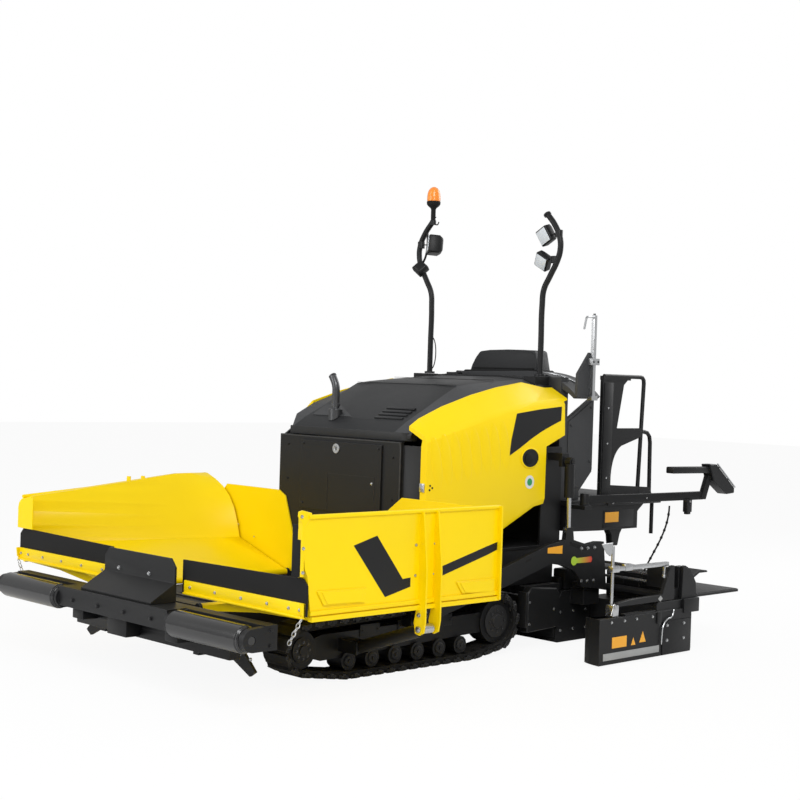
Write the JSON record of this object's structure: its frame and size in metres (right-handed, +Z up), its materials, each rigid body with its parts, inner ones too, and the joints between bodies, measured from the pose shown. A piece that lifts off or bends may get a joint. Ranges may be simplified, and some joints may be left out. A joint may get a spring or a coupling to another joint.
{
  "type": "tracked asphalt paver",
  "caption": "Compact tracked asphalt paver: folding hopper, conveyor tunnel, augers, lifting extendable screed, platform and light masts",
  "frame": {"origin": "on the ground, below the middle of the machine's bounding box", "axes": "+X is the travel direction, +Y the machine's left side, +Z up"},
  "size_m": [4.8458, 3.336, 3.5773],
  "materials": {
    "yellow_paint": "semi-gloss enamel",
    "black_paint": "satin textured enamel",
    "grey_paint": "satin enamel",
    "black_plastic": "fine moulded grain",
    "rubber": "matt, worn",
    "bare_steel": "ground and plated",
    "cast_iron": "rough cast, worn bright on edges",
    "amber_lens": "clear moulded"
  },
  "bodies": {
    "chassis": {"main_frame": "black_paint", "conveyor_floor": "cast_iron", "engine_block": "cast_iron", "centre_apron": "black_paint", "push_beam": "black_paint", "engine_housing": "black_paint", "platform": "black_paint", "operator_console": "grey_paint", "beacon": "amber_lens", "light_mast_left": "black_paint", "light_mast_right": "black_paint", "crank_post_left": "bare_steel", "guard_rail_left": "black_paint", "guard_rail_right": "black_paint", "track_left": "rubber", "track_right": "rubber", "track_frame_left": "black_paint", "track_frame_right": "black_paint", "hopper_back_left": "yellow_paint", "hopper_back_right": "yellow_paint"},
    "hood": {"hood": "black_plastic", "exhaust_pipe": "bare_steel"},
    "service_door": {"service_door": "black_paint"},
    "screed": {"screed_main": "black_paint", "tow_arm_left": "black_paint", "tow_arm_right": "black_paint"},
    "wing_left": {"hopper_wing_left": "yellow_paint", "front_flap_left": "rubber"},
    "wing_barrel_left": {"wing_cylinder_left": "black_paint"},
    "wing_piston_left": {"wing_rod_left": "bare_steel"},
    "side_panel_left": {"side_panel_left": "yellow_paint"},
    "push_roller_left": {"push_roller_left": "black_paint"},
    "auger_left": {"auger_left": "cast_iron"},
    "lift_barrel_left": {"lift_cylinder_left": "black_paint"},
    "lift_piston_left": {"lift_rod_left": "bare_steel"},
    "extension_left": {"screed_extension_left": "black_paint", "end_plate_left": "black_paint"},
    "panel_arm_left": {"control_panel_left": "black_plastic"},
    "wing_right": {"hopper_wing_right": "yellow_paint", "front_flap_right": "rubber"},
    "wing_barrel_right": {"wing_cylinder_right": "black_paint"},
    "wing_piston_right": {"wing_rod_right": "bare_steel"},
    "side_panel_right": {"side_panel_right": "yellow_paint"},
    "push_roller_right": {"push_roller_right": "black_paint"},
    "auger_right": {"auger_right": "cast_iron"},
    "lift_barrel_right": {"lift_cylinder_right": "black_paint"},
    "lift_piston_right": {"lift_rod_right": "bare_steel"},
    "extension_right": {"screed_extension_right": "black_paint", "end_plate_right": "black_paint"},
    "panel_arm_right": {"control_panel_right": "black_plastic"}
  },
  "joints": [
    {"name": "hood_lift", "type": "hinge", "parent": "chassis", "child": "hood", "pos_m": [-0.922, 0, 2.042], "axis": [0, -1, 0], "range_deg": [0, 50]},
    {"name": "service_door_drop", "type": "hinge", "parent": "chassis", "child": "service_door", "pos_m": [0.4463, 0, 0.99], "axis": [0, 1, 0], "range_deg": [0, 90]},
    {"name": "screed_lift", "type": "hinge", "parent": "chassis", "child": "screed", "pos_m": [0.55, 0, 0.385], "axis": [0, 1, 0], "range_deg": [0, 7.5]},
    {"name": "wing_fold_left", "type": "hinge", "parent": "chassis", "child": "wing_left", "pos_m": [1.27, 0.53, 0.5], "axis": [1, 0, 0], "range_deg": [0, 55]},
    {"name": "wing_cylinder_swing_left", "type": "hinge", "parent": "chassis", "child": "wing_barrel_left", "pos_m": [1.121, 1, 0.22], "axis": [1, 0, 0], "range_deg": [-0.5, 61.5]},
    {"name": "wing_cylinder_stroke_left", "type": "slide", "parent": "wing_barrel_left", "child": "wing_piston_left", "axis": [0, 0.9463, 0.3231], "range_m": [-0.002, 0.502]},
    {"name": "side_panel_swing_left", "type": "hinge", "parent": "chassis", "child": "side_panel_left", "pos_m": [0.42, 0.886, 1.2], "axis": [0, 0, -1], "range_deg": [0, 75]},
    {"name": "push_roller_spin_left", "type": "hinge", "parent": "chassis", "child": "push_roller_left", "pos_m": [2.338, 1, 0.44], "axis": [0, 1, 0], "continuous": true},
    {"name": "auger_spin_left", "type": "hinge", "parent": "chassis", "child": "auger_left", "pos_m": [-0.85, 0.4, 0.33], "axis": [0, 1, 0], "continuous": true},
    {"name": "lift_cylinder_swing_left", "type": "hinge", "parent": "chassis", "child": "lift_barrel_left", "pos_m": [-0.97, 1, 1.4], "axis": [0, -1, 0], "range_deg": [-0.5, 13.4]},
    {"name": "lift_cylinder_stroke_left", "type": "slide", "parent": "lift_barrel_left", "child": "lift_piston_left", "axis": [0.0096, 0, 1], "range_m": [-0.002, 0.19]},
    {"name": "extension_slide_left", "type": "slide", "parent": "screed", "child": "extension_left", "axis": [0, -1, 0], "range_m": [0, 0.5]},
    {"name": "panel_arm_swing_left", "type": "hinge", "parent": "chassis", "child": "panel_arm_left", "pos_m": [-1.16, 1, 1.1], "axis": [0, 0, 1], "range_deg": [-25, 22]},
    {"name": "wing_fold_right", "type": "hinge", "parent": "chassis", "child": "wing_right", "pos_m": [1.27, -0.53, 0.5], "axis": [-1, 0, 0], "range_deg": [0, 55]},
    {"name": "wing_cylinder_swing_right", "type": "hinge", "parent": "chassis", "child": "wing_barrel_right", "pos_m": [1.121, -1, 0.22], "axis": [-1, 0, 0], "range_deg": [-0.5, 61.5]},
    {"name": "wing_cylinder_stroke_right", "type": "slide", "parent": "wing_barrel_right", "child": "wing_piston_right", "axis": [0, -0.9463, 0.3231], "range_m": [-0.002, 0.502]},
    {"name": "side_panel_swing_right", "type": "hinge", "parent": "chassis", "child": "side_panel_right", "pos_m": [0.112, -0.886, 1.2], "axis": [0, 0, 1], "range_deg": [0, 75]},
    {"name": "push_roller_spin_right", "type": "hinge", "parent": "chassis", "child": "push_roller_right", "pos_m": [2.338, -1, 0.44], "axis": [0, 1, 0], "continuous": true},
    {"name": "auger_spin_right", "type": "hinge", "parent": "chassis", "child": "auger_right", "pos_m": [-0.85, -0.4, 0.33], "axis": [0, 1, 0], "continuous": true},
    {"name": "lift_cylinder_swing_right", "type": "hinge", "parent": "chassis", "child": "lift_barrel_right", "pos_m": [-0.97, -1, 1.4], "axis": [0, -1, 0], "range_deg": [-0.5, 13.4]},
    {"name": "lift_cylinder_stroke_right", "type": "slide", "parent": "lift_barrel_right", "child": "lift_piston_right", "axis": [0.0096, 0, 1], "range_m": [-0.002, 0.19]},
    {"name": "extension_slide_right", "type": "slide", "parent": "screed", "child": "extension_right", "axis": [0, 1, 0], "range_m": [0, 0.5]},
    {"name": "panel_arm_swing_right", "type": "hinge", "parent": "chassis", "child": "panel_arm_right", "pos_m": [-1.16, -1, 1.1], "axis": [0, 0, -1], "range_deg": [-25, 22]}
  ],
  "couplings": [
    {"joint": "wing_cylinder_swing_left", "follows": "wing_fold_left", "ratio": 1.1022},
    {"joint": "wing_cylinder_stroke_left", "follows": "wing_fold_left", "m_per_rad": 0.51887},
    {"joint": "lift_cylinder_swing_left", "follows": "screed_lift", "ratio": 1.7528},
    {"joint": "lift_cylinder_stroke_left", "follows": "screed_lift", "m_per_rad": 1.4272},
    {"joint": "wing_cylinder_swing_right", "follows": "wing_fold_right", "ratio": 1.1022},
    {"joint": "wing_cylinder_stroke_right", "follows": "wing_fold_right", "m_per_rad": 0.51887},
    {"joint": "lift_cylinder_swing_right", "follows": "screed_lift", "ratio": 1.7528},
    {"joint": "lift_cylinder_stroke_right", "follows": "screed_lift", "m_per_rad": 1.4272}
  ]
}
